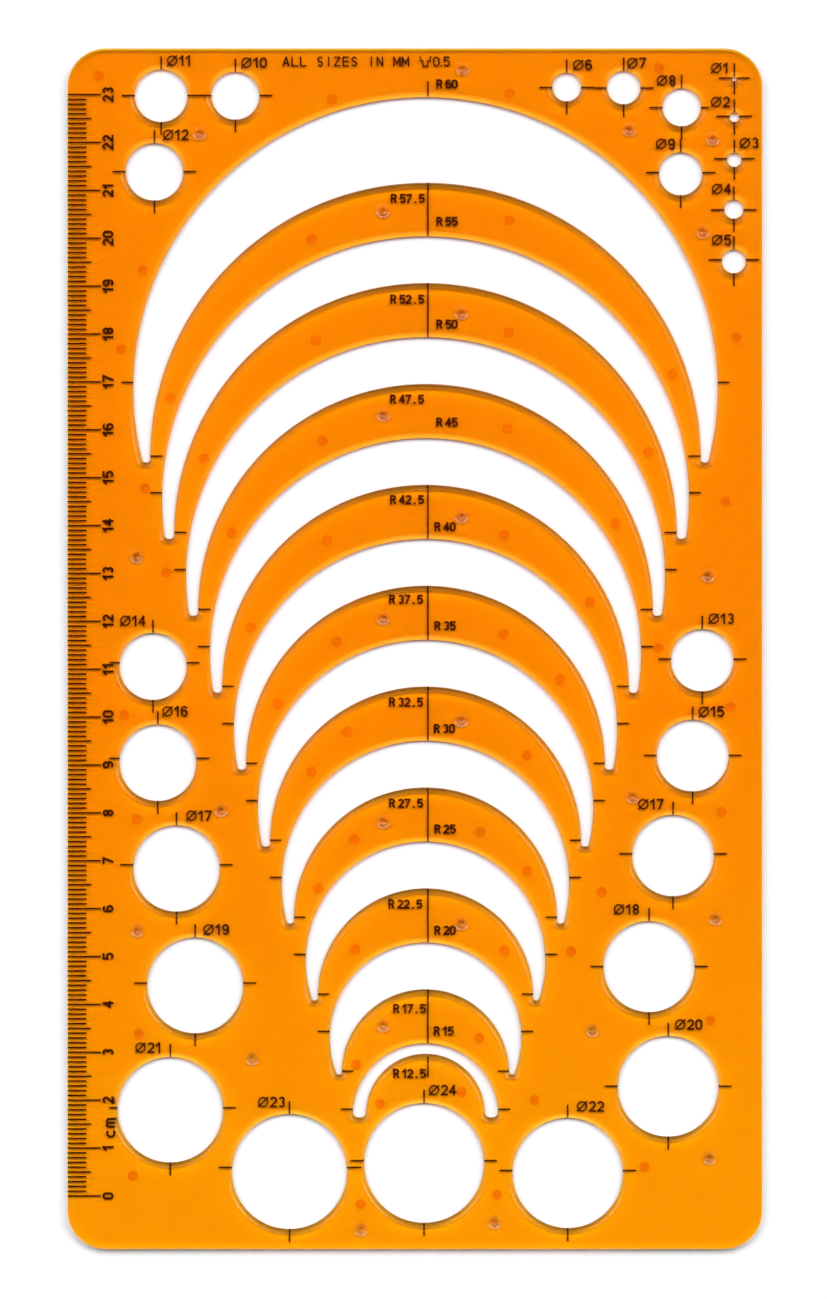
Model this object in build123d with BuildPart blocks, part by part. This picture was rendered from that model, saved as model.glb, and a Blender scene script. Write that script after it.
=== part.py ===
from build123d import *
import math
import os

os.makedirs("parts", exist_ok=True)

# A flat drafting template in millimetres. X runs across the sheet, Y along its length,
# Z up out of the smooth face. The origin is at the middle of the sheet, at the riser tips.
sheet_width = 145.0
sheet_length = 250.5
sheet_thickness = 1.2
corner_radius = 8.0

# Every drawing edge is bevelled from above, down to an upright land that guides the pencil.
bevel_width = 0.95
land_height = 0.38

# Moulded risers that lift the sheet off the paper. Each is cored from the upper face by a
# stepped pit, given as radii and heights against that face.
riser_height = 0.5
riser_base_radius = 1.35
riser_tip_radius = 1.05
pit_profile = (
    (0, 0), (1.45, 0), (1.15, -0.11), (0.9, -0.3), (0.65, -0.95), (0.4, -1.07), (0, -1.07),
)

# Shallow marks left in the underside by the mould's ejector pins.
ejector_mark_radius = 1.05
ejector_mark_depth = 0.15

# The printing is on the underside, where it doesn't wear, and is read through the sheet.
ink_thickness = 0.04

underside = riser_height
print_level = underside - ink_thickness
land_top = underside + land_height
upper_face = underside + sheet_thickness

# Round drawing holes: diameter, x, y, printed size, where the size's lettering starts from
# the hole's axis, how far its middle is above the hole, and how far the side ticks are
# above the centre.
holes = (
    (1.0, 66.7, 119.0, "1", -4.9, 1.75, 0.15),
    (2.0, 66.7, 111.0, "2", -4.9, 2.15, 0.15),
    (3.0, 66.7, 102.1, "3", 1.1, 2.0, 0.2),
    (4.0, 66.6, 91.8, "4", -4.6, 2.2, -0.2),
    (5.0, 66.6, 80.9, "5", -4.6, 1.95, 0.3),
    (6.0, 31.7, 117.3, "6", 1.3, 1.6, -0.15),
    (7.0, 43.6, 117.2, "7", 0.7, 1.6, -0.15),
    (8.0, 55.7, 113.1, "8", -5.2, 1.55, -0.15),
    (9.0, 55.5, 99.2, "9", -5.2, 1.7, 0.2),
    (10.0, -37.5, 115.5, "10", 1.2, 1.85, 0),
    (11.0, -53.0, 115.5, "11", 1.2, 1.8, 0),
    (12.0, -54.4, 99.6, "12", 1.75, 1.7, 0),
    (13.0, 60.0, -2.4, "13", 1.3, 2.15, 0.2),
    (14.0, -54.7, -3.7, "14", -6.9, 2.5, 0.75),
    (15.0, 58.0, -22.3, "15", 1.2, 1.65, 0),
    (16.0, -53.7, -23.8, "16", 0.9, 2.7, 0.9),
    (17.0, 53.9, -43.2, "17", -7.3, 2.2, 0.35),
    (18.0, -49.8, -45.9, "17", 2.0, 2.0, 0.75),
    (19.0, 48.9, -66.4, "18", -7.4, 2.45, 0),
    (20.0, -45.9, -70.3, "19", 1.7, 1.65, 0.45),
    (21.0, 52.9, -91.4, "20", 1.4, 2.4, 0),
    (22.0, -51.1, -96.3, "21", -7.3, 1.95, 0.4),
    (23.0, 31.9, -109.5, "22", 1.9, 2.4, 0.5),
    (24.0, -26.2, -109.2, "23", -6.6, 2.5, 0.85),
    (25.0, 1.9, -107.4, "24", 1.0, 2.7, 0.45),
)

# Arc openings: each lies between the edge of one radius and the edge of the next smaller one.
# The first and the last have their own sizes, and those between follow one another by a step.
arc_axis = 2.2
arc_pitch = 21.07
arc_step = 5.0
second_arc_radius = 55.0
second_arc_top = 86.15
arc_gap = 9.8
radius_gap = 2.5
tip_drop = 0.9
short_tip_drop = 0.3
stepped_arcs = 8

# Lettering of each arc opening: where the outer radius starts to the right of the centreline
# and how far it is above the opening, then where the inner radius ends to the left of the
# centreline and how far it is below the opening.
radius_places = (
    (1.65, 2.7, 0.65, 3.3), (1.65, 3.05, 0.75, 3.4), (1.65, 2.65, 0.8, 3.2),
    (1.65, 3.25, 0.8, 3.1), (1.25, 2.5, 1.0, 2.85), (1.25, 2.9, 1.0, 3.25),
    (1.1, 2.5, 1.0, 3.3), (1.25, 2.6, 1.15, 3.3), (1.25, 2.5, 0.4, 4.05), (1.1, 2.55, 0.4, 4.15),
)

# Outer radius, top of the outer edge, inner radius, top of the inner edge, drop of the tips.
arcs = [(61.0, 115.2, 57.5, 97.3, tip_drop)]
for k in range(stepped_arcs):
    outer_radius = second_arc_radius - k * arc_step
    outer_top = second_arc_top - k * arc_pitch
    drop = short_tip_drop if k == stepped_arcs - 1 else tip_drop
    arcs.append((outer_radius, outer_top, outer_radius - radius_gap, outer_top - arc_gap, drop))
arcs.append((15.2, -82.4, 12.4, -84.6, tip_drop))

# Risers: a zigzag beside the arcs' axis, and others spread over the borders.
riser_rows = 9
riser_row_pitch = 21.25
riser_row_top = 91.4
riser_left = -6.6
riser_right = 9.7
border_risers = (
    (-44.9, 107.6), (10.0, 121.1), (44.8, 108.4), (62.2, 106.5), (60.1, 87.1), (-58.1, 19.3),
    (-40.5, -33.7), (-58.0, -58.8), (-34.0, -85.5), (61.2, 15.3), (45.5, -30.9), (62.8, -56.3),
    (37.1, -79.6), (61.5, -106.3), (16.6, -119.7), (-11.3, -121.2),
)

# Ejector pin marks, left border, left bands, right bands, right border, and the foot.
ejector_marks = (
    (-66.1, 119.8), (-17.3, 114.8), (19.8, 116.0), (51.0, 121.4), (-56.9, 79.0), (-61.3, 62.6),
    (-56.4, 33.5), (-51.9, 15.9), (-60.7, -13.8), (-58.1, -35.6), (-57.7, -80.4), (-58.9, -110.1),
    (-21.6, 85.6), (-51.0, 52.45), (-20.7, 64.4), (-38.3, 24.3), (-19.3, 43.4), (-44.1, 39.8),
    (-34.3, 4.5), (-18.4, 22.6), (-28.6, -11.5), (-16.3, 1.5), (-21.6, -25.7), (-14.2, -17.4),
    (-20.2, -50.0), (-12.7, -39.8), (-12.5, -62.7), (-12.3, -86.9), (-7.3, -95.0),
    (19.8, 89.5), (53.8, 57.4), (19.6, 66.1), (48.8, 41.1), (19.3, 45.9), (42.0, 26.2),
    (18.6, 23.8), (36.6, 9.7), (18.5, 3.1), (30.3, -6.4), (23.4, -22.3), (13.6, -38.3),
    (23.4, -46.4), (18.8, -63.0), (13.4, -81.3), (9.8, -92.6), (39.0, -50.8), (32.6, -63.2),
    (67.2, 65.1), (64.9, 30.7), (50.9, 0.2), (66.0, -12.1), (64.0, -34.1), (61.8, -77.6),
    (25.0, -94.3), (48.0, -108.2), (17.1, -114.0), (-11.3, -116.0),
)

# Scale along the left edge.
scale_centimetres = 23
scale_zero = -114.3
left_edge = -sheet_width / 2
millimetre_tick = 3.9
half_centimetre_tick = 4.9
centimetre_tick = 6.9
scale_line = 0.32
numeral_middle = 8.4
numeral_height = 2.3
numeral_weight = 0.44
numeral_spacing = 1.67
unit_height = 2.9
unit_weight = 0.46
unit_places = {"c": 13.1, "m": 15.25}

# Marks around the holes and arcs. A short tick stops early because lettering is in its way,
# and is given by its hole, its side and its length.
mark_line = 0.34
crosshair_gap = 0.15
crosshair_length = 2.6
crosshair_left_limit = -63.8

short_ticks = {(8.0, "right"): 1.6}
outer_tick_length = 2.3
outer_tick_rise = 1.4
inner_tick_length = 2.2
inner_tick_rise = 0.4
arc_tick_gap = 0.2
arc_mark_axis = 2.7
top_mark_length = 2.9
foot_mark_length = 4.0
foot_mark_gap = 0.9

# Lettering. The digit 1 is narrower than the others.
letter_width = 0.66
narrow_share = 0.8
size_height = 2.25
size_weight = 0.38
size_sign_middle = 1.1
size_sign_width = 2.4
size_spacing = 1.72
radius_height = 1.95
radius_weight = 0.4
radius_sign_middle = 0.75
radius_sign_width = 1.95
radius_spacing = 1.32
note_height = 2.1
note_weight = 0.3
note_left = -27.8
note_middle = 122.6
note_spacing = 1.78
point_symbol_left = 1.1
allowance_left = 4.45
allowance_spacing = 1.08


def arc_opening(outer_radius, outer_top, inner_radius, inner_top, drop):
    """Gives the face of one arc opening."""
    tip_level = inner_top - inner_radius - drop
    with BuildSketch() as opening:
        with Locations((arc_axis, outer_top - outer_radius)):
            Circle(outer_radius)
        with Locations((arc_axis, inner_top - inner_radius)):
            Circle(inner_radius, mode=Mode.SUBTRACT)
        with Locations((arc_axis, tip_level)):
            Rectangle(300, 300, align=(Align.CENTER, Align.MAX), mode=Mode.SUBTRACT)
        tips = opening.vertices().group_by(Axis.Y)[0].sort_by(Axis.X)
        tip_width = tips[1].X - tips[0].X
        fillet(tips, radius=0.42 * tip_width)
    return opening.sketch


riser_places = list(border_risers)
for k in range(riser_rows):
    riser_x = riser_left if k % 2 == 0 else riser_right
    riser_places.append((riser_x, riser_row_top - k * riser_row_pitch))

with BuildPart() as pit:
    with BuildSketch(Plane.XZ):
        with BuildLine():
            Polyline(*pit_profile, close=True)
        make_face()
    revolve(axis=Axis.Z)

with BuildPart() as template_sheet:
    with BuildSketch(Plane.XY.offset(underside)):
        RectangleRounded(sheet_width, sheet_length, corner_radius)
        for diameter, x, y, *printing in holes:
            with Locations((x, y)):
                Circle(diameter / 2, mode=Mode.SUBTRACT)
        for opening in arcs:
            add(arc_opening(*opening), mode=Mode.SUBTRACT)
    extrude(amount=sheet_thickness)
    top = template_sheet.faces().sort_by(Axis.Z)[-1]
    rims = [edge for wire in top.inner_wires() for edge in wire.edges()]
    chamfer(rims, length=bevel_width, length2=upper_face - land_top, reference=top)
    with BuildSketch(Plane.XY.offset(underside)):
        with Locations(*ejector_marks):
            Circle(ejector_mark_radius)
    extrude(amount=ejector_mark_depth, mode=Mode.SUBTRACT)
    with Locations(*[(x, y, riser_height / 2) for x, y in riser_places]):
        Cone(riser_tip_radius, riser_base_radius, riser_height)
    with Locations(*[(x, y, upper_face) for x, y in riser_places]):
        add(pit.part, mode=Mode.SUBTRACT)
template_sheet.part.label = "template_sheet"
export_step(template_sheet.part, "parts/template_sheet.step")


def line_stroke(start, end, weight):
    """Adds one straight pen stroke to the sketch being built."""
    run = math.dist(start, end)
    angle = math.degrees(math.atan2(end[1] - start[1], end[0] - start[0]))
    middle = ((start[0] + end[0]) / 2, (start[1] + end[1]) / 2)
    with Locations(Location((middle[0], middle[1], 0), (0, 0, angle))):
        Rectangle(run + weight, weight)


def bend_stroke(centre, radius, start, sweep, weight):
    """Adds one curved pen stroke to the sketch being built."""
    with BuildLine() as edge:
        outside = CenterArc(centre, radius + weight / 2, start, sweep)
        inside = CenterArc(centre, radius - weight / 2, start, sweep)
        Line(outside @ 0, inside @ 0)
        Line(outside @ 1, inside @ 1)
    make_face(edge.edges())


def character(sign, height, weight):
    """Gives the face of one pen-stroke character, centred on the origin."""
    top = (height - weight) / 2
    side = letter_width / 2 * height - weight / 2
    small = top / 2
    with BuildSketch() as shape:
        if sign == "0":
            bend_stroke((0, top - side), side, 0, 180, weight)
            bend_stroke((0, side - top), side, 180, 180, weight)
            line_stroke((-side, side - top), (-side, top - side), weight)
            line_stroke((side, side - top), (side, top - side), weight)
        if sign == "1":
            line_stroke((side / 3, -top), (side / 3, top), weight)
            line_stroke((side / 3, top), (-side * 0.7, top - 0.2 * height), weight)
        if sign == "2":
            bend_stroke((0, top - side), side, -40, 205, weight)
            elbow_x = side * math.cos(math.radians(-40))
            elbow_y = top - side + side * math.sin(math.radians(-40))
            line_stroke((elbow_x, elbow_y), (-side, -top), weight)
            line_stroke((-side, -top), (side, -top), weight)
        if sign == "3":
            bend_stroke((0, small), small, -90, 245, weight)
            bend_stroke((0, -small), small, -155, 245, weight)
        if sign == "4":
            line_stroke((side * 0.5, -top), (side * 0.5, top), weight)
            line_stroke((side * 0.5, top), (-side, -top * 0.4), weight)
            line_stroke((-side, -top * 0.4), (side, -top * 0.4), weight)
        if sign == "5":
            bowl = side * 1.08
            line_stroke((-side * 0.75, top), (side * 0.9, top), weight)
            line_stroke((-side * 0.75, top), (-side * 0.9, bowl * 1.7 - top), weight)
            bend_stroke((0, bowl - top), bowl, -150, 295, weight)
        if sign in "69":
            turn = 1 if sign == "6" else -1
            spin = 0 if sign == "6" else 180
            bend_stroke((0, turn * (side - top)), side, 0, 180, weight)
            bend_stroke((0, turn * (side - top)), side, 180, 180, weight)
            back = -turn * side
            line_stroke((back, turn * (side - top)), (back, turn * (top - side)), weight)
            bend_stroke((0, turn * (top - side)), side, 30 + spin, 150, weight)
        if sign == "7":
            line_stroke((-side, top), (side, top), weight)
            line_stroke((side, top), (-side * 0.4, -top), weight)
        if sign == "8":
            for middle in (small, -small):
                bend_stroke((0, middle), small, 0, 180, weight)
                bend_stroke((0, middle), small, 180, 180, weight)
        if sign == ".":
            with Locations((0, -top)):
                Rectangle(weight * 1.1, weight * 1.1)
        if sign == "R":
            line_stroke((-side, -top), (-side, top), weight)
            line_stroke((-side, top), (side - small, top), weight)
            line_stroke((-side, 0), (side - small, 0), weight)
            bend_stroke((side - small, small), small, -90, 180, weight)
            line_stroke((side - small, 0), (side, -top), weight)
        if sign == "diameter":
            ring = 0.42 * height
            bend_stroke((0, 0), ring, 0, 180, weight * 0.8)
            bend_stroke((0, 0), ring, 180, 180, weight * 0.8)
            line_stroke((-ring, -ring), (ring, ring), weight * 0.8)
        if sign == "L":
            line_stroke((-side, -top), (-side, top), weight)
            line_stroke((-side, -top), (side, -top), weight)
        if sign == "I":
            line_stroke((0, -top), (0, top), weight)
        if sign == "N":
            line_stroke((-side, -top), (-side, top), weight)
            line_stroke((-side, top), (side, -top), weight)
            line_stroke((side, -top), (side, top), weight)
        if sign == "E":
            line_stroke((-side, -top), (-side, top), weight)
            for level in (-top, 0, top):
                line_stroke((-side, level), (side * 0.9, level), weight)
        if sign == "A":
            line_stroke((-side * 1.15, -top), (0, top), weight)
            line_stroke((side * 1.15, -top), (0, top), weight)
            line_stroke((-side * 0.7, -top * 0.4), (side * 0.7, -top * 0.4), weight)
        if sign == "M":
            for way in (-1, 1):
                line_stroke((way * side * 1.2, -top), (way * side * 1.2, top), weight)
                line_stroke((way * side * 1.2, top), (0, -top * 0.5), weight)
        if sign == "S":
            bend_stroke((0, small), small, 20, 250, weight)
            bend_stroke((0, -small), small, 200, 250, weight)
        if sign == "Z":
            line_stroke((-side, top), (side, top), weight)
            line_stroke((side, top), (-side, -top), weight)
            line_stroke((-side, -top), (side, -top), weight)
        if sign == "c":
            bend_stroke((0, -0.2 * height), 0.26 * height, 50, 260, weight)
        if sign == "m":
            arch = 0.14 * height
            for centre_x in (-arch, arch):
                bend_stroke((centre_x, 0.08 * height - arch), arch, 0, 180, weight)
            for stem_x in (-2 * arch, 0, 2 * arch):
                line_stroke((stem_x, -top), (stem_x, 0.08 * height - arch), weight)
    return shape.sketch


def lettering(characters, height, weight, name):
    """Gives a printed group. Each character has the places where it is printed."""
    with BuildPart() as printed:
        with BuildSketch(Plane.XY.offset(print_level)):
            for sign, places in characters.items():
                shape = character(sign, height, weight)
                with Locations(*places):
                    add(shape)
        extrude(amount=ink_thickness)
    printed.part.label = name
    export_step(printed.part, "parts/" + name + ".step")


def spaced(digits, spacing):
    """Pairs each digit with how far its middle is along the number, and adds the number's length."""
    placed = []
    length = 0
    for digit in digits:
        width = spacing * (narrow_share if digit == "1" else 1)
        placed.append((digit, length + width / 2))
        length += width
    return placed, length


def marks(bars, name):
    """Gives a printed group of straight marks, each with its middle, width and height."""
    with BuildPart() as printed:
        with BuildSketch(Plane.XY.offset(print_level)):
            for size, places in bars.items():
                with Locations(*places):
                    Rectangle(size[0], size[1])
        extrude(amount=ink_thickness)
    printed.part.label = name
    export_step(printed.part, "parts/" + name + ".step")


def scale_tick_places(length, wanted):
    """Gives the middles of the scale ticks whose millimetre count is wanted."""
    counts = range(10 * scale_centimetres + 1)
    return [(left_edge + length / 2, scale_zero + count) for count in counts if wanted(count)]


scale_ticks = (
    ("scale_millimetre_ticks", millimetre_tick, lambda count: count % 5 > 0),
    ("scale_half_centimetre_ticks", half_centimetre_tick, lambda count: count % 10 == 5),
    ("scale_centimetre_ticks", centimetre_tick, lambda count: count % 10 == 0),
)
for name, length, wanted in scale_ticks:
    marks({(length, scale_line): scale_tick_places(length, wanted)}, name)

# Scale numerals read from bottom to top, centred on their ticks.
numerals = {}
for centimetre in range(scale_centimetres + 1):
    placed, length = spaced(str(centimetre), numeral_spacing)
    start = scale_zero + 10 * centimetre - length / 2
    for sign, along in placed:
        spot = (left_edge + numeral_middle, start + along, 0)
        numerals.setdefault(sign, []).append(Location(spot, (0, 0, 90)))
lettering(numerals, numeral_height, numeral_weight, "scale_numerals")

unit = {}
for sign, along in unit_places.items():
    unit[sign] = [Location((left_edge + numeral_middle, scale_zero + along, 0), (0, 0, 90))]
lettering(unit, unit_height, unit_weight, "scale_unit_label")

# Four crosshair ticks around every hole, and its size beside the upper one.
crosshairs = {}
sizes = {}
for diameter, x, y, size, start, label_rise, rise in holes:
    gap = diameter / 2 + crosshair_gap
    for side, way_x, way_y in (("top", 0, 1), ("foot", 0, -1), ("right", 1, 0), ("left", -1, 0)):
        length = short_ticks.get((diameter, side), crosshair_length)
        if side == "left":
            length = min(length, x - gap - crosshair_left_limit)
        reach = gap + length / 2
        bar = (mark_line, length) if way_x == 0 else (length, mark_line)
        tick_y = y + way_y * reach + rise * abs(way_x)
        crosshairs.setdefault(bar, []).append((x + way_x * reach, tick_y))
    label_y = y + diameter / 2 + label_rise
    sizes.setdefault("diameter", []).append((x + start + size_sign_middle, label_y))
    for sign, along in spaced(size, size_spacing)[0]:
        sizes.setdefault(sign, []).append((x + start + size_sign_width + along, label_y))
marks(crosshairs, "hole_crosshair_ticks")
lettering(sizes, size_height, size_weight, "hole_size_labels")

# Centreline across every band, centre ticks beside every arc, and the radius labels.
top_mark_y = arcs[0][1] + mark_line + top_mark_length / 2
centreline = {(mark_line, top_mark_length): [(arc_mark_axis, top_mark_y)]}
centre_ticks = {(outer_tick_length, mark_line): [], (inner_tick_length, mark_line): []}
radii = {}
for k, (outer_radius, outer_top, inner_radius, inner_top, drop) in enumerate(arcs):
    if k < len(arcs) - 1:
        band = inner_top - arcs[k + 1][1]
        centreline[(mark_line, band - mark_line)] = [(arc_mark_axis, inner_top - band / 2)]
        inner_tick_y = inner_top - inner_radius + inner_tick_rise
        for way in (-1, 1):
            tick_x = arc_axis + way * (inner_radius - arc_tick_gap - inner_tick_length / 2)
            centre_ticks[(inner_tick_length, mark_line)].append((tick_x, inner_tick_y))
    outer_tick_y = outer_top - outer_radius + outer_tick_rise
    for way in (-1, 1):
        tick_x = arc_axis + way * (outer_radius + arc_tick_gap + outer_tick_length / 2)
        centre_ticks[(outer_tick_length, mark_line)].append((tick_x, outer_tick_y))
    outer_start, outer_rise, inner_end, inner_drop = radius_places[k]
    outer_digits, length = spaced(str(60 - 5 * k), radius_spacing)
    outer_left = arc_mark_axis + outer_start
    inner_digits, length = spaced(str(57.5 - 5 * k), radius_spacing)
    inner_left = arc_mark_axis - inner_end - radius_sign_width - length
    for placed, x, y in (
        (outer_digits, outer_left, outer_top + outer_rise),
        (inner_digits, inner_left, inner_top - inner_drop),
    ):
        radii.setdefault("R", []).append((x + radius_sign_middle, y))
        for sign, along in placed:
            radii.setdefault(sign, []).append((x + radius_sign_width + along, y))
foot_mark_y = arcs[-1][3] - foot_mark_gap - foot_mark_length / 2
centreline[(mark_line, foot_mark_length)] = [(arc_mark_axis, foot_mark_y)]
marks(centreline, "arc_centreline_marks")
marks(centre_ticks, "arc_centre_ticks")
lettering(radii, radius_height, radius_weight, "arc_radius_labels")

# A general note that the sizes are in millimetres.
note = {}
for place, sign in enumerate("ALL SIZES IN MM"):
    if sign != " ":
        sign_x = note_left + note_spacing * (place + 0.5)
        note.setdefault(sign, []).append((sign_x, note_middle))
lettering(note, note_height, note_weight, "sizes_note")

# A section of a pencil point, and how much the openings allow for its lead, in millimetres.
point_symbol = (
    (0, 1.0), (0.1, 0.15), (0.5, 0.15), (0.65, -1.05),
    (1.5, -1.05), (1.65, 0.15), (2.05, 0.15), (2.15, 1.0),
)
with BuildPart() as lead_allowance_mark:
    with BuildSketch(Plane.XY.offset(print_level)):
        for start, end in zip(point_symbol, point_symbol[1:]):
            near = (point_symbol_left + start[0], note_middle + start[1])
            far = (point_symbol_left + end[0], note_middle + end[1])
            line_stroke(near, far, note_weight)
        for place, sign in enumerate("0.5"):
            figure = character(sign, note_height, note_weight)
            with Locations((allowance_left + allowance_spacing * place, note_middle)):
                add(figure)
    extrude(amount=ink_thickness)
lead_allowance_mark.part.label = "lead_allowance_mark"
export_step(lead_allowance_mark.part, "parts/lead_allowance_mark.step")
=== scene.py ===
import math

import bmesh
import bpy
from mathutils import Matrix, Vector
from mathutils.geometry import delaunay_2d_cdt


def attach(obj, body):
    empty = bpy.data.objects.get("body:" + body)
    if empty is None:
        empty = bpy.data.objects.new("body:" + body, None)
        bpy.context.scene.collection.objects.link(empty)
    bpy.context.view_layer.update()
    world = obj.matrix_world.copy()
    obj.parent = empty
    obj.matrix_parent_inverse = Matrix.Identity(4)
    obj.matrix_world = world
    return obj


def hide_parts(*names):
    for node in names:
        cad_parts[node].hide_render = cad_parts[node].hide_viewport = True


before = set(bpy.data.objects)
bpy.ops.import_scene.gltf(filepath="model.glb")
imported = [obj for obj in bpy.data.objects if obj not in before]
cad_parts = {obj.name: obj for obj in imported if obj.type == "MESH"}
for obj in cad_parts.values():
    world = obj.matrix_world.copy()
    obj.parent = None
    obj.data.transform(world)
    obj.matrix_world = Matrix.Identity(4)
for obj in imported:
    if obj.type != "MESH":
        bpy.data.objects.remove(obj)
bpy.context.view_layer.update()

MM = 0.001

# ---------------------------------------------------------------------------
# Sizes of the template in millimetres. X runs across the sheet, Y along it, Z up
# out of the smooth face, and the risers' tips are at Z = 0.
# ---------------------------------------------------------------------------
SHEET_WIDTH = 145.0
SHEET_LENGTH = 250.5
CORNER_RADIUS = 8.0
UPPER_FACE = 1.7
EDGE_ROUND = 0.1

# The ink's upper side is at 0.5, so the plastic closes round it by 0.01 mm.
UNDERSIDE = 0.49

# Every drawing edge is bevelled from above, down to an upright land. The profile is how
# far each point is into the plastic, and its height, with the bevel's corners eased.
BEVEL_WIDTH = 0.95
LAND_TOP = 0.88
LAND_ROUND = 0.08
BEVEL = (
    (BEVEL_WIDTH + 0.06, UPPER_FACE), (BEVEL_WIDTH, UPPER_FACE - 0.02),
    (0.05, LAND_TOP + 0.05), (0, LAND_TOP - 0.03),
)

# Round drawing holes: diameter, x, y.
HOLES = (
    (1.0, 66.7, 119.0), (2.0, 66.7, 111.0), (3.0, 66.7, 102.1), (4.0, 66.6, 91.8),
    (5.0, 66.6, 80.9), (6.0, 31.7, 117.3), (7.0, 43.6, 117.2), (8.0, 55.7, 113.1),
    (9.0, 55.5, 99.2), (10.0, -37.5, 115.5), (11.0, -53.0, 115.5), (12.0, -54.4, 99.6),
    (13.0, 60.0, -2.4), (14.0, -54.7, -3.7), (15.0, 58.0, -22.3), (16.0, -53.7, -23.8),
    (17.0, 53.9, -43.2), (18.0, -49.8, -45.9), (19.0, 48.9, -66.4), (20.0, -45.9, -70.3),
    (21.0, 52.9, -91.4), (22.0, -51.1, -96.3), (23.0, 31.9, -109.5), (24.0, -26.2, -109.2),
    (25.0, 1.9, -107.4),
)

# Arc openings: outer radius, top of the outer edge, inner radius, top of the inner edge,
# and how far the tips drop below the inner edge's centre. All but the first and the last
# are one pattern, stepped down the sheet. A tip is rounded by a share of its width.
ARC_AXIS = 2.2
ARC_PITCH = 21.07
ARC_STEP = 5.0
ARC_GAP = 9.8
RADIUS_GAP = 2.5
TIP_DROP = 0.9
SHORT_TIP_DROP = 0.3
TIP_ROUND = 0.42
STEPPED_ARCS = 8
STEPPED_RADIUS = 55.0
STEPPED_TOP = 86.15
ARCS = [(61.0, 115.2, 57.5, 97.3, TIP_DROP)]
for k in range(STEPPED_ARCS):
    radius = STEPPED_RADIUS - k * ARC_STEP
    top = STEPPED_TOP - k * ARC_PITCH
    drop = SHORT_TIP_DROP if k == STEPPED_ARCS - 1 else TIP_DROP
    ARCS.append((radius, top, radius - RADIUS_GAP, top - ARC_GAP, drop))
ARCS.append((15.2, -82.4, 12.4, -84.6, TIP_DROP))

# Moulded risers, each cored from above by a pit. The riser's profile is radius and height,
# and the pit's is radius and depth below the upper face.
RISER_BASE = 1.35
RISER_TIP = 1.05
RISER = (
    (RISER_BASE + 0.06, UNDERSIDE), (RISER_BASE, UNDERSIDE - 0.04),
    (RISER_TIP + 0.03, 0.14), (RISER_TIP - 0.03, 0.05), (RISER_TIP - 0.12, 0),
)
PIT = (
    (1.49, 0), (1.44, 0.015), (1.15, 0.11), (0.9, 0.3), (0.67, 0.9), (0.6, 1.0), (0.4, 1.07),
)

# The risers on the borders, and then those in a zigzag beside the arcs' axis.
RISERS = [
    (-44.9, 107.6), (10.0, 121.1), (44.8, 108.4), (62.2, 106.5), (60.1, 87.1), (-58.1, 19.3),
    (-40.5, -33.7), (-58.0, -58.8), (-34.0, -85.5), (61.2, 15.3), (45.5, -30.9), (62.8, -56.3),
    (37.1, -79.6), (61.5, -106.3), (16.6, -119.7), (-11.3, -121.2),
]
ZIGZAG_X = (-6.6, 9.7)
ZIGZAG_TOP = 91.4
ZIGZAG_PITCH = 21.25
ZIGZAG_RISERS = 9
for k in range(ZIGZAG_RISERS):
    RISERS.append((ZIGZAG_X[k % 2], ZIGZAG_TOP - k * ZIGZAG_PITCH))

# Shallow marks of the mould's ejector pins in the underside: a profile of radius and
# height, and where they are.
PIN_RADIUS = 1.05
PIN_DEPTH = 0.15
PIN_MARK = (
    (PIN_RADIUS + 0.06, UNDERSIDE), (PIN_RADIUS, UNDERSIDE + 0.03),
    (PIN_RADIUS - 0.03, UNDERSIDE + PIN_DEPTH),
)
PIN_MARKS = (
    (-66.1, 119.8), (-17.3, 114.8), (19.8, 116.0), (51.0, 121.4), (-56.9, 79.0), (-61.3, 62.6),
    (-56.4, 33.5), (-51.9, 15.9), (-60.7, -13.8), (-58.1, -35.6), (-57.7, -80.4), (-58.9, -110.1),
    (-21.6, 85.6), (-51.0, 52.45), (-20.7, 64.4), (-38.3, 24.3), (-19.3, 43.4), (-44.1, 39.8),
    (-34.3, 4.5), (-18.4, 22.6), (-28.6, -11.5), (-16.3, 1.5), (-21.6, -25.7), (-14.2, -17.4),
    (-20.2, -50.0), (-12.7, -39.8), (-12.5, -62.7), (-12.3, -86.9), (-7.3, -95.0),
    (19.8, 89.5), (53.8, 57.4), (19.6, 66.1), (48.8, 41.1), (19.3, 45.9), (42.0, 26.2),
    (18.6, 23.8), (36.6, 9.7), (18.5, 3.1), (30.3, -6.4), (23.4, -22.3), (13.6, -38.3),
    (23.4, -46.4), (18.8, -63.0), (13.4, -81.3), (9.8, -92.6), (39.0, -50.8), (32.6, -63.2),
    (67.2, 65.1), (64.9, 30.7), (50.9, 0.2), (66.0, -12.1), (64.0, -34.1), (61.8, -77.6),
    (25.0, -94.3), (48.0, -108.2), (17.1, -114.0), (-11.3, -116.0),
)

# How finely curves are stepped: lengths in millimetres, and numbers of steps. Points
# closer than SAME_POINT are taken as one.
HOLE_STEP = 0.5
HOLE_STEPS_PER_RADIUS = 5
OPENING_STEP = 0.8
TIP_STEP = 0.15
CORNER_STEP = 0.4
LEAST_STEPS = 3
ROUND_STEPS = 3
RISER_SIDES = 32
PIN_SIDES = 28
SAME_POINT = 1e-7

# How frosted the flat ends are: the risers' tips, and the pin marks' floors.
RISER_FROST = 1.0
PIN_FROST = 0.4

# Edges that turn by more degrees than this are shaded sharp.
SHARP_TURN = 31


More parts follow.
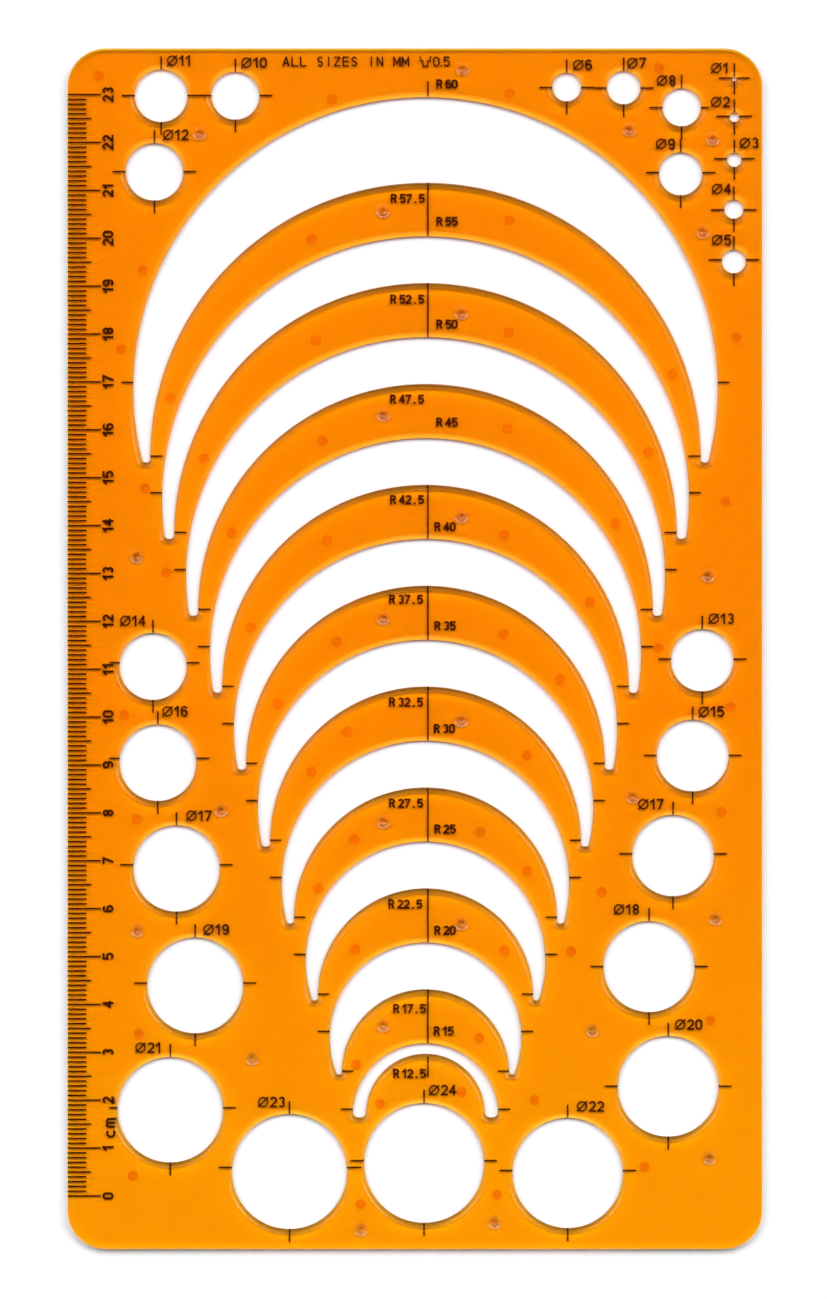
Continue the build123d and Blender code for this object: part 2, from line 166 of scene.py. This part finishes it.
# ---------------------------------------------------------------------------
# Outlines. Each is a closed run of (x, y, nx, ny): a point, and the unit vector that
# leads from the open side into the plastic.
# ---------------------------------------------------------------------------
def arc_run(cx, cy, radius, start, end, step, way):
    """Points along an arc, about one step apart. way is 1 if the plastic is outside the arc."""
    count = max(LEAST_STEPS, round(abs(end - start) * radius / step))
    run = []
    for i in range(count + 1):
        angle = start + (end - start) * i / count
        ca, sa = math.cos(angle), math.sin(angle)
        run.append((cx + radius * ca, cy + radius * sa, way * ca, way * sa))
    return run


def hole_run(diameter, x, y):
    """The edge of a round hole."""
    radius = diameter / 2
    step = min(HOLE_STEP, radius / HOLE_STEPS_PER_RADIUS)
    return arc_run(x, y, radius, 0, 2 * math.pi, step, 1)[:-1]


def opening_run(outer_radius, outer_top, inner_radius, inner_top, drop):
    """The edge of an arc opening, with its two rounded tips."""
    outer_y = outer_top - outer_radius
    inner_y = inner_top - inner_radius
    tip_y = inner_y - drop
    outer_x = math.sqrt(outer_radius ** 2 - (tip_y - outer_y) ** 2)
    inner_x = math.sqrt(inner_radius ** 2 - (tip_y - inner_y) ** 2)
    small = TIP_ROUND * (outer_x - inner_x)
    cy = tip_y + small
    outer_cx = math.sqrt((outer_radius - small) ** 2 - (cy - outer_y) ** 2)
    inner_cx = math.sqrt((inner_radius + small) ** 2 - (cy - inner_y) ** 2)
    outer_angle = math.atan2(cy - outer_y, outer_cx)
    inner_angle = math.atan2(cy - inner_y, inner_cx)
    down = -math.pi / 2
    half = arc_run(0, outer_y, outer_radius, math.pi / 2, outer_angle, OPENING_STEP, 1)
    half += arc_run(outer_cx, cy, small, outer_angle, down, TIP_STEP, 1)[1:]
    half += arc_run(inner_cx, cy, small, down, inner_angle - math.pi, TIP_STEP, 1)
    half += arc_run(0, inner_y, inner_radius, inner_angle, math.pi / 2, OPENING_STEP, -1)[1:]
    right = [(ARC_AXIS + x, y, nx, ny) for x, y, nx, ny in half]
    left = [(ARC_AXIS - x, y, -nx, ny) for x, y, nx, ny in reversed(half[1:-1])]
    return right + left


def border_run():
    """The sheet's own edge, with its rounded corners."""
    x = SHEET_WIDTH / 2 - CORNER_RADIUS
    y = SHEET_LENGTH / 2 - CORNER_RADIUS
    run = []
    for turn, (cx, cy) in enumerate(((x, y), (-x, y), (-x, -y), (x, -y))):
        start = turn * math.pi / 2
        run += arc_run(cx, cy, CORNER_RADIUS, start, start + math.pi / 2, CORNER_STEP, -1)
    return run


# ---------------------------------------------------------------------------
# The sheet's mesh.
# ---------------------------------------------------------------------------
class Shell:
    """The vertices and faces of one closed skin, in millimetres.

    flat lists the faces that are shaded flat, and frosted lists faces with their frost.
    """

    def __init__(self):
        self.verts = []
        self.faces = []
        self.flat = []
        self.frosted = []

    def row(self, points):
        """Adds one row of vertices and returns their numbers."""
        first = len(self.verts)
        self.verts += points
        return list(range(first, first + len(points)))

    def skin(self, rows):
        """Joins neighbouring closed rows with four-sided faces."""
        for a, b in zip(rows, rows[1:]):
            count = len(a)
            for i in range(count):
                j = (i + 1) % count
                self.faces.append((a[i], a[j], b[j], b[i]))

    def edge(self, run, profile):
        """Sweeps a profile of (into the plastic, height) round an outline."""
        rows = []
        for into, z in profile:
            rows.append(self.row([(x + nx * into, y + ny * into, z) for x, y, nx, ny in run]))
        self.skin(rows)
        return rows[0], rows[-1]

    def turned(self, x, y, count, profile, frost=0.0):
        """Turns a profile of (radius, height) about an upright axis, and closes its inner end."""
        rows = []
        for radius, z in profile:
            ring = []
            for i in range(count):
                angle = 2 * math.pi * i / count
                ring.append((x + radius * math.cos(angle), y + radius * math.sin(angle), z))
            rows.append(self.row(ring))
        self.skin(rows)
        self.flat.append(len(self.faces))
        if frost:
            self.frosted.append((len(self.faces), frost))
        self.faces.append(tuple(rows[-1]))
        return rows[0]

    def fill(self, loops):
        """Fills the flat face between the first row and the rows inside it.

        All outlines are turned the same way round, and a triangle is kept where it lies
        inside the first outline only.
        """
        points = []
        outlines = []
        numbers = []
        for loop in loops:
            base = len(points)
            corners = [self.verts[n] for n in loop]
            points += [Vector(corner[:2]) for corner in corners]
            numbers += loop
            outline = list(range(base, base + len(loop)))
            pairs = zip(corners, corners[1:] + corners[:1])
            clockwise = sum(a[0] * b[1] - b[0] * a[1] for a, b in pairs) < 0
            outlines.append(outline[::-1] if clockwise else outline)
        triangles_inside = 1
        result = delaunay_2d_cdt(points, [], outlines, triangles_inside, SAME_POINT)
        triangles, first_points, outlines_round = result[2], result[3], result[5]
        for triangle, within in zip(triangles, outlines_round):
            if within == [0]:
                self.flat.append(len(self.faces))
                self.faces.append(tuple(numbers[first_points[i][0]] for i in triangle))


def quarter(into, z, radius, start):
    """A quarter round of a profile, about a centre, from a start in degrees."""
    points = []
    for i in range(ROUND_STEPS + 1):
        angle = math.radians(start + 90 * i / ROUND_STEPS)
        points.append((into + radius * math.cos(angle), z + radius * math.sin(angle)))
    return points


def sheet_mesh():
    """The whole moulded sheet, with its bevelled drawing edges, cored risers and pin marks."""
    plain = quarter(EDGE_ROUND, UPPER_FACE - EDGE_ROUND, EDGE_ROUND, 90)
    plain += quarter(EDGE_ROUND, UNDERSIDE + EDGE_ROUND, EDGE_ROUND, 180)
    bevelled = list(BEVEL) + quarter(LAND_ROUND, UNDERSIDE + LAND_ROUND, LAND_ROUND, 180)
    edges = [(border_run(), plain)]
    edges += [(hole_run(*hole), bevelled) for hole in HOLES]
    edges += [(opening_run(*arc), bevelled) for arc in ARCS]
    shell = Shell()
    upper = []
    lower = []
    for run, profile in edges:
        high, low = shell.edge(run, profile)
        upper.append(high)
        lower.append(low)
    pit = [(radius, UPPER_FACE - depth) for radius, depth in PIT]
    for x, y in RISERS:
        lower.append(shell.turned(x, y, RISER_SIDES, RISER, RISER_FROST))
        upper.append(shell.turned(x, y, RISER_SIDES, pit))
    for x, y in PIN_MARKS:
        lower.append(shell.turned(x, y, PIN_SIDES, PIN_MARK, PIN_FROST))
    shell.fill(upper)
    shell.fill(lower)
    mesh = bpy.data.meshes.new("sheet")
    mesh.from_pydata([(x * MM, y * MM, z * MM) for x, y, z in shell.verts], [], shell.faces)
    outward = bmesh.new()
    outward.from_mesh(mesh)
    bmesh.ops.recalc_face_normals(outward, faces=outward.faces)
    outward.to_mesh(mesh)
    outward.free()
    mesh.shade_smooth()
    mesh.set_sharp_from_angle(angle=math.radians(SHARP_TURN))
    for number in shell.flat:
        mesh.polygons[number].use_smooth = False
    frost = mesh.attributes.new("frost", "FLOAT", "FACE")
    for number, value in shell.frosted:
        frost.data[number].value = value
    return mesh


# ---------------------------------------------------------------------------
# Materials. A gloss is the low and the high end of an uneven roughness, and a noise is
# its scale and detail.
# ---------------------------------------------------------------------------
PLASTIC_IOR = 1.49
PLASTIC_GLOSS = (0.02, 0.07)
FROSTED = 0.9
PLASTIC_SOAK = (0.999, 0.895, 0.0, 1.0)
PLASTIC_DENSITY = 4000.0
WEAR_NOISE = (900.0, 4.0)
WEAR_BUMP = 0.08
WEAR_DEPTH = 0.02

# Noise is mostly between these values.
NOISE_MIDDLE = (0.3, 0.7)

# The plastic's tint along the sheet, and the redder, darker tint painted on the pin marks' floors
# as painted shade. The tint changes between two places in Y, in millimetres, with faint clouds in
# it.
UPPER_TINT = (1.0, 0.845, 0.93, 1.0)
FOOT_TINT = (1.0, 0.965, 1.0, 1.0)
PIN_PAINTED_SHADE = (1.0, 0.5, 0.5, 1.0)
PALER_FROM = -10.0
PALEST_AT = -110.0
PIN_LEEWAY = 0.1
CLOUDS = (-0.1, 0.1)
CLOUD_NOISE = (45.0, 3.0)
CLOUD_STRETCH = (1.0, 0.12, 1.0)

INK_DARK = (0.045, 0.02, 0.015, 1.0)
INK_BROWN = (0.1, 0.035, 0.02, 1.0)
INK_GLOSS = (0.35, 0.6)
INK_SHINE = 0.1
INK_NOISE = (2500.0, 3.0)

PAPER_GREY = (0.86, 0.86, 0.87, 1.0)
PAPER_WHITE = (0.9, 0.9, 0.9, 1.0)
PAPER_ROUGH = 0.9
PAPER_SHINE = 0.2
PAPER_NOISE = (400.0, 4.0)


def new_material(name):
    """An empty node material, and its nodes and links."""
    material = bpy.data.materials.new(name)
    material.use_nodes = True
    nodes = material.node_tree.nodes
    nodes.clear()
    return material, nodes, material.node_tree.links


def noise(nodes, links, scale, detail, stretch=(1, 1, 1)):
    """A noise pattern that is fixed to the object and scaled to its metres."""
    place = nodes.new("ShaderNodeTexCoord")
    mapping = nodes.new("ShaderNodeMapping")
    mapping.inputs["Scale"].default_value = stretch
    pattern = nodes.new("ShaderNodeTexNoise")
    pattern.inputs["Scale"].default_value = scale
    pattern.inputs["Detail"].default_value = detail
    links.new(place.outputs["Object"], mapping.inputs["Vector"])
    links.new(mapping.outputs["Vector"], pattern.inputs["Vector"])
    return pattern.outputs["Fac"]


def ranged(nodes, links, value, before, after):
    """Maps a value from one range to another, and holds it there."""
    node = nodes.new("ShaderNodeMapRange")
    node.inputs["From Min"].default_value = before[0]
    node.inputs["From Max"].default_value = before[1]
    node.inputs["To Min"].default_value = after[0]
    node.inputs["To Max"].default_value = after[1]
    links.new(value, node.inputs["Value"])
    return node.outputs["Result"]


def spread(nodes, links, pattern, ends):
    """Maps a noise pattern to a range."""
    return ranged(nodes, links, pattern, NOISE_MIDDLE, ends)


def blend(nodes, links, factor, first, second):
    """Mixes two colours, each a constant or a node output, by a factor."""
    node = nodes.new("ShaderNodeMix")
    node.data_type = "RGBA"
    links.new(factor, node.inputs["Factor"])
    for name, colour in (("A", first), ("B", second)):
        if isinstance(colour, tuple):
            node.inputs[name].default_value = colour
        else:
            links.new(colour, node.inputs[name])
    return node.outputs["Result"]


def paler_foot(nodes, links):
    """Rises towards the sheet's foot, where the plastic is paler, with a faint cloudiness."""
    place = nodes.new("ShaderNodeTexCoord")
    split = nodes.new("ShaderNodeSeparateXYZ")
    links.new(place.outputs["Object"], split.inputs["Vector"])
    foot = ranged(nodes, links, split.outputs["Y"], (PALER_FROM * MM, PALEST_AT * MM), (0.0, 1.0))
    cloud = noise(nodes, links, *CLOUD_NOISE, CLOUD_STRETCH)
    both = nodes.new("ShaderNodeMath")
    links.new(foot, both.inputs[0])
    links.new(spread(nodes, links, cloud, CLOUDS), both.inputs[1])
    return both.outputs["Value"]


def orange_plastic():
    """Clear orange acrylic: its colour comes from how much plastic the light goes through, except
    for painted shade in the pin marks' floors.
    """
    material, nodes, links = new_material("orange_acrylic")
    out = nodes.new("ShaderNodeOutputMaterial")
    clear = nodes.new("ShaderNodeBsdfPrincipled")
    clear.inputs["Transmission Weight"].default_value = 1.0
    clear.inputs["IOR"].default_value = PLASTIC_IOR
    tint = blend(nodes, links, paler_foot(nodes, links), UPPER_TINT, FOOT_TINT)
    frost = nodes.new("ShaderNodeAttribute")
    frost.attribute_name = "frost"
    # The pin marks' floors, found by their frost, get a redder, darker base colour: painted shade
    # standing in for the shading these marks show.
    pin_shade_mask = nodes.new("ShaderNodeMath")
    pin_shade_mask.operation = "COMPARE"
    pin_shade_mask.inputs[1].default_value = PIN_FROST
    pin_shade_mask.inputs[2].default_value = PIN_LEEWAY
    links.new(frost.outputs["Fac"], pin_shade_mask.inputs[0])
    colour = blend(nodes, links, pin_shade_mask.outputs["Value"], tint, PIN_PAINTED_SHADE)
    links.new(colour, clear.inputs["Base Color"])
    wear = noise(nodes, links, *WEAR_NOISE)
    gloss = nodes.new("ShaderNodeMix")
    gloss.inputs["B"].default_value = FROSTED
    links.new(frost.outputs["Fac"], gloss.inputs["Factor"])
    links.new(spread(nodes, links, wear, PLASTIC_GLOSS), gloss.inputs["A"])
    links.new(gloss.outputs["Result"], clear.inputs["Roughness"])
    bump = nodes.new("ShaderNodeBump")
    bump.inputs["Strength"].default_value = WEAR_BUMP
    bump.inputs["Distance"].default_value = WEAR_DEPTH * MM
    links.new(wear, bump.inputs["Height"])
    links.new(bump.outputs["Normal"], clear.inputs["Normal"])
    links.new(clear.outputs["BSDF"], out.inputs["Surface"])
    soak = nodes.new("ShaderNodeVolumeAbsorption")
    soak.inputs["Color"].default_value = PLASTIC_SOAK
    soak.inputs["Density"].default_value = PLASTIC_DENSITY
    links.new(soak.outputs["Volume"], out.inputs["Volume"])
    return material


def printing_ink():
    """Near-black printing ink with a slight red-brown cast and an uneven film."""
    material, nodes, links = new_material("printing_ink")
    out = nodes.new("ShaderNodeOutputMaterial")
    ink = nodes.new("ShaderNodeBsdfPrincipled")
    ink.inputs["Specular IOR Level"].default_value = INK_SHINE
    film = noise(nodes, links, *INK_NOISE)
    links.new(blend(nodes, links, film, INK_DARK, INK_BROWN), ink.inputs["Base Color"])
    links.new(spread(nodes, links, film, INK_GLOSS), ink.inputs["Roughness"])
    links.new(ink.outputs["BSDF"], out.inputs["Surface"])
    return material


def white_paper():
    """Plain white drawing paper under the sheet."""
    material, nodes, links = new_material("white_paper")
    out = nodes.new("ShaderNodeOutputMaterial")
    paper = nodes.new("ShaderNodeBsdfPrincipled")
    paper.inputs["Roughness"].default_value = PAPER_ROUGH
    paper.inputs["Specular IOR Level"].default_value = PAPER_SHINE
    grain = noise(nodes, links, *PAPER_NOISE)
    links.new(blend(nodes, links, grain, PAPER_GREY, PAPER_WHITE), paper.inputs["Base Color"])
    links.new(paper.outputs["BSDF"], out.inputs["Surface"])
    return material


# ---------------------------------------------------------------------------
# The object.
# ---------------------------------------------------------------------------
collection = bpy.context.scene.collection
sheet = bpy.data.objects.new("sheet", sheet_mesh())
collection.objects.link(sheet)
sheet.data.materials.append(orange_plastic())
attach(sheet, "root")
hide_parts("template_sheet")

ink_material = printing_ink()
for name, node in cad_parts.items():
    if name != "template_sheet":
        node.data.materials.clear()
        node.data.materials.append(ink_material)

# ---------------------------------------------------------------------------
# The floor, the light and the camera.
# ---------------------------------------------------------------------------
# Half the floor's width is in metres. The floor lies FLOOR_DROP millimetres below the
# risers' tips, so that their faces don't coincide.
FLOOR_HALF = 6.0
FLOOR_DROP = 0.02
FLOOR_CORNERS = [
    (-FLOOR_HALF, -FLOOR_HALF, 0), (FLOOR_HALF, -FLOOR_HALF, 0),
    (FLOOR_HALF, FLOOR_HALF, 0), (-FLOOR_HALF, FLOOR_HALF, 0),
]

floor_mesh = bpy.data.meshes.new("floor")
floor_mesh.from_pydata(FLOOR_CORNERS, [], [(0, 1, 2, 3)])
floor = bpy.data.objects.new("floor", floor_mesh)
floor.location = (0, 0, -FLOOR_DROP * MM)
collection.objects.link(floor)
floor_mesh.materials.append(white_paper())


class Studio:
    """A world whose light comes from directions worked out with small node sums."""

    def __init__(self):
        self.world = bpy.data.worlds.new("studio")
        self.world.use_nodes = True
        self.nodes = self.world.node_tree.nodes
        self.links = self.world.node_tree.links
        self.nodes.clear()
        place = self.nodes.new("ShaderNodeTexCoord")
        self.way = self.nodes.new("ShaderNodeSeparateXYZ")
        self.links.new(place.outputs["Generated"], self.way.inputs["Vector"])

    def sum(self, operation, first, second=0.0):
        """One step of arithmetic on numbers or node outputs."""
        node = self.nodes.new("ShaderNodeMath")
        node.operation = operation
        for socket, value in zip(node.inputs, (first, second)):
            if isinstance(value, float):
                socket.default_value = value
            else:
                self.links.new(value, socket)
        return node.outputs["Value"]

    def ramp(self, value, edge, before, after):
        """Goes softly from before to after while the value crosses an edge."""
        node = self.nodes.new("ShaderNodeMapRange")
        node.interpolation_type = "SMOOTHSTEP"
        node.inputs["From Min"].default_value = edge[0]
        node.inputs["From Max"].default_value = edge[1]
        node.inputs["To Min"].default_value = before
        node.inputs["To Max"].default_value = after
        self.links.new(value, node.inputs["Value"])
        return node.outputs["Result"]

    def finish(self, strength):
        """Lights the world with the strength worked out."""
        background = self.nodes.new("ShaderNodeBackground")
        out = self.nodes.new("ShaderNodeOutputWorld")
        self.links.new(strength, background.inputs["Strength"])
        self.links.new(background.outputs["Background"], out.inputs["Surface"])
        return self.world


# A broad soft lamp stands beyond the sheet's upper end, a weak one faces it from the foot,
# and the horizon glows a little. Nothing stands straight above, so the sheet has no glare.
# The lamps' edges are places on a level ceiling one unit up, and the horizon's are the
# direction's own height: each pair is where the edge begins and where it ends. For the
# ceiling, directions below LOWEST are taken as that high.
LAMP_STRENGTH = 5.7
LAMP_NEAR_EDGE = (0.12, 0.35)
LAMP_FAR_EDGE = (0.7, 1.7)
LAMP_MIDDLE = 0.25
LAMP_SIDE_EDGE = (0.9, 2.2)
FOOT_STRENGTH = 0.35
FOOT_EDGE = (0.12, 0.6)
HORIZON_STRENGTH = 0.27
ZENITH_STRENGTH = 0.02
HORIZON_EDGE = (0.1, 0.6)
LOWEST = 0.05

studio = Studio()
height = studio.sum("MAXIMUM", studio.way.outputs["Z"], LOWEST)
forward = studio.sum("DIVIDE", studio.way.outputs["Y"], height)
across = studio.sum("DIVIDE", studio.way.outputs["X"], height)
sideways = studio.sum("ABSOLUTE", studio.sum("SUBTRACT", across, LAMP_MIDDLE))
lamp_near = studio.ramp(forward, LAMP_NEAR_EDGE, 0.0, 1.0)
lamp_far = studio.ramp(forward, LAMP_FAR_EDGE, LAMP_STRENGTH, 0.0)
lamp_side = studio.ramp(sideways, LAMP_SIDE_EDGE, 1.0, 0.0)
lamp = studio.sum("MULTIPLY", studio.sum("MULTIPLY", lamp_near, lamp_far), lamp_side)
backward = studio.sum("MULTIPLY", forward, -1.0)
foot = studio.ramp(backward, FOOT_EDGE, 0.0, FOOT_STRENGTH)
horizon = studio.ramp(studio.way.outputs["Z"], HORIZON_EDGE, HORIZON_STRENGTH, ZENITH_STRENGTH)
bpy.context.scene.world = studio.finish(studio.sum("ADD", studio.sum("ADD", lamp, foot), horizon))

# The camera looks straight down with a long lens, as in the photo. The height of the frame
# is in metres on the sheet's upper face, and the middle of the frame is in millimetres.
FRAME_HEIGHT = 0.27113
FRAME_MIDDLE = (-0.3, -0.2)
LENS = 200.0
SENSOR = 36.0

camera_data = bpy.data.cameras.new("camera")
camera_data.lens = LENS
camera_data.sensor_width = SENSOR
camera = bpy.data.objects.new("camera", camera_data)
distance = FRAME_HEIGHT * LENS / SENSOR
camera.location = (FRAME_MIDDLE[0] * MM, FRAME_MIDDLE[1] * MM, distance + UPPER_FACE * MM)
collection.objects.link(camera)
bpy.context.scene.camera = camera
bpy.context.scene.view_settings.view_transform = "Standard"

# Light that goes through the clear plastic keeps its full strength only without this blur.
bpy.context.scene.cycles.blur_glossy = 0.0
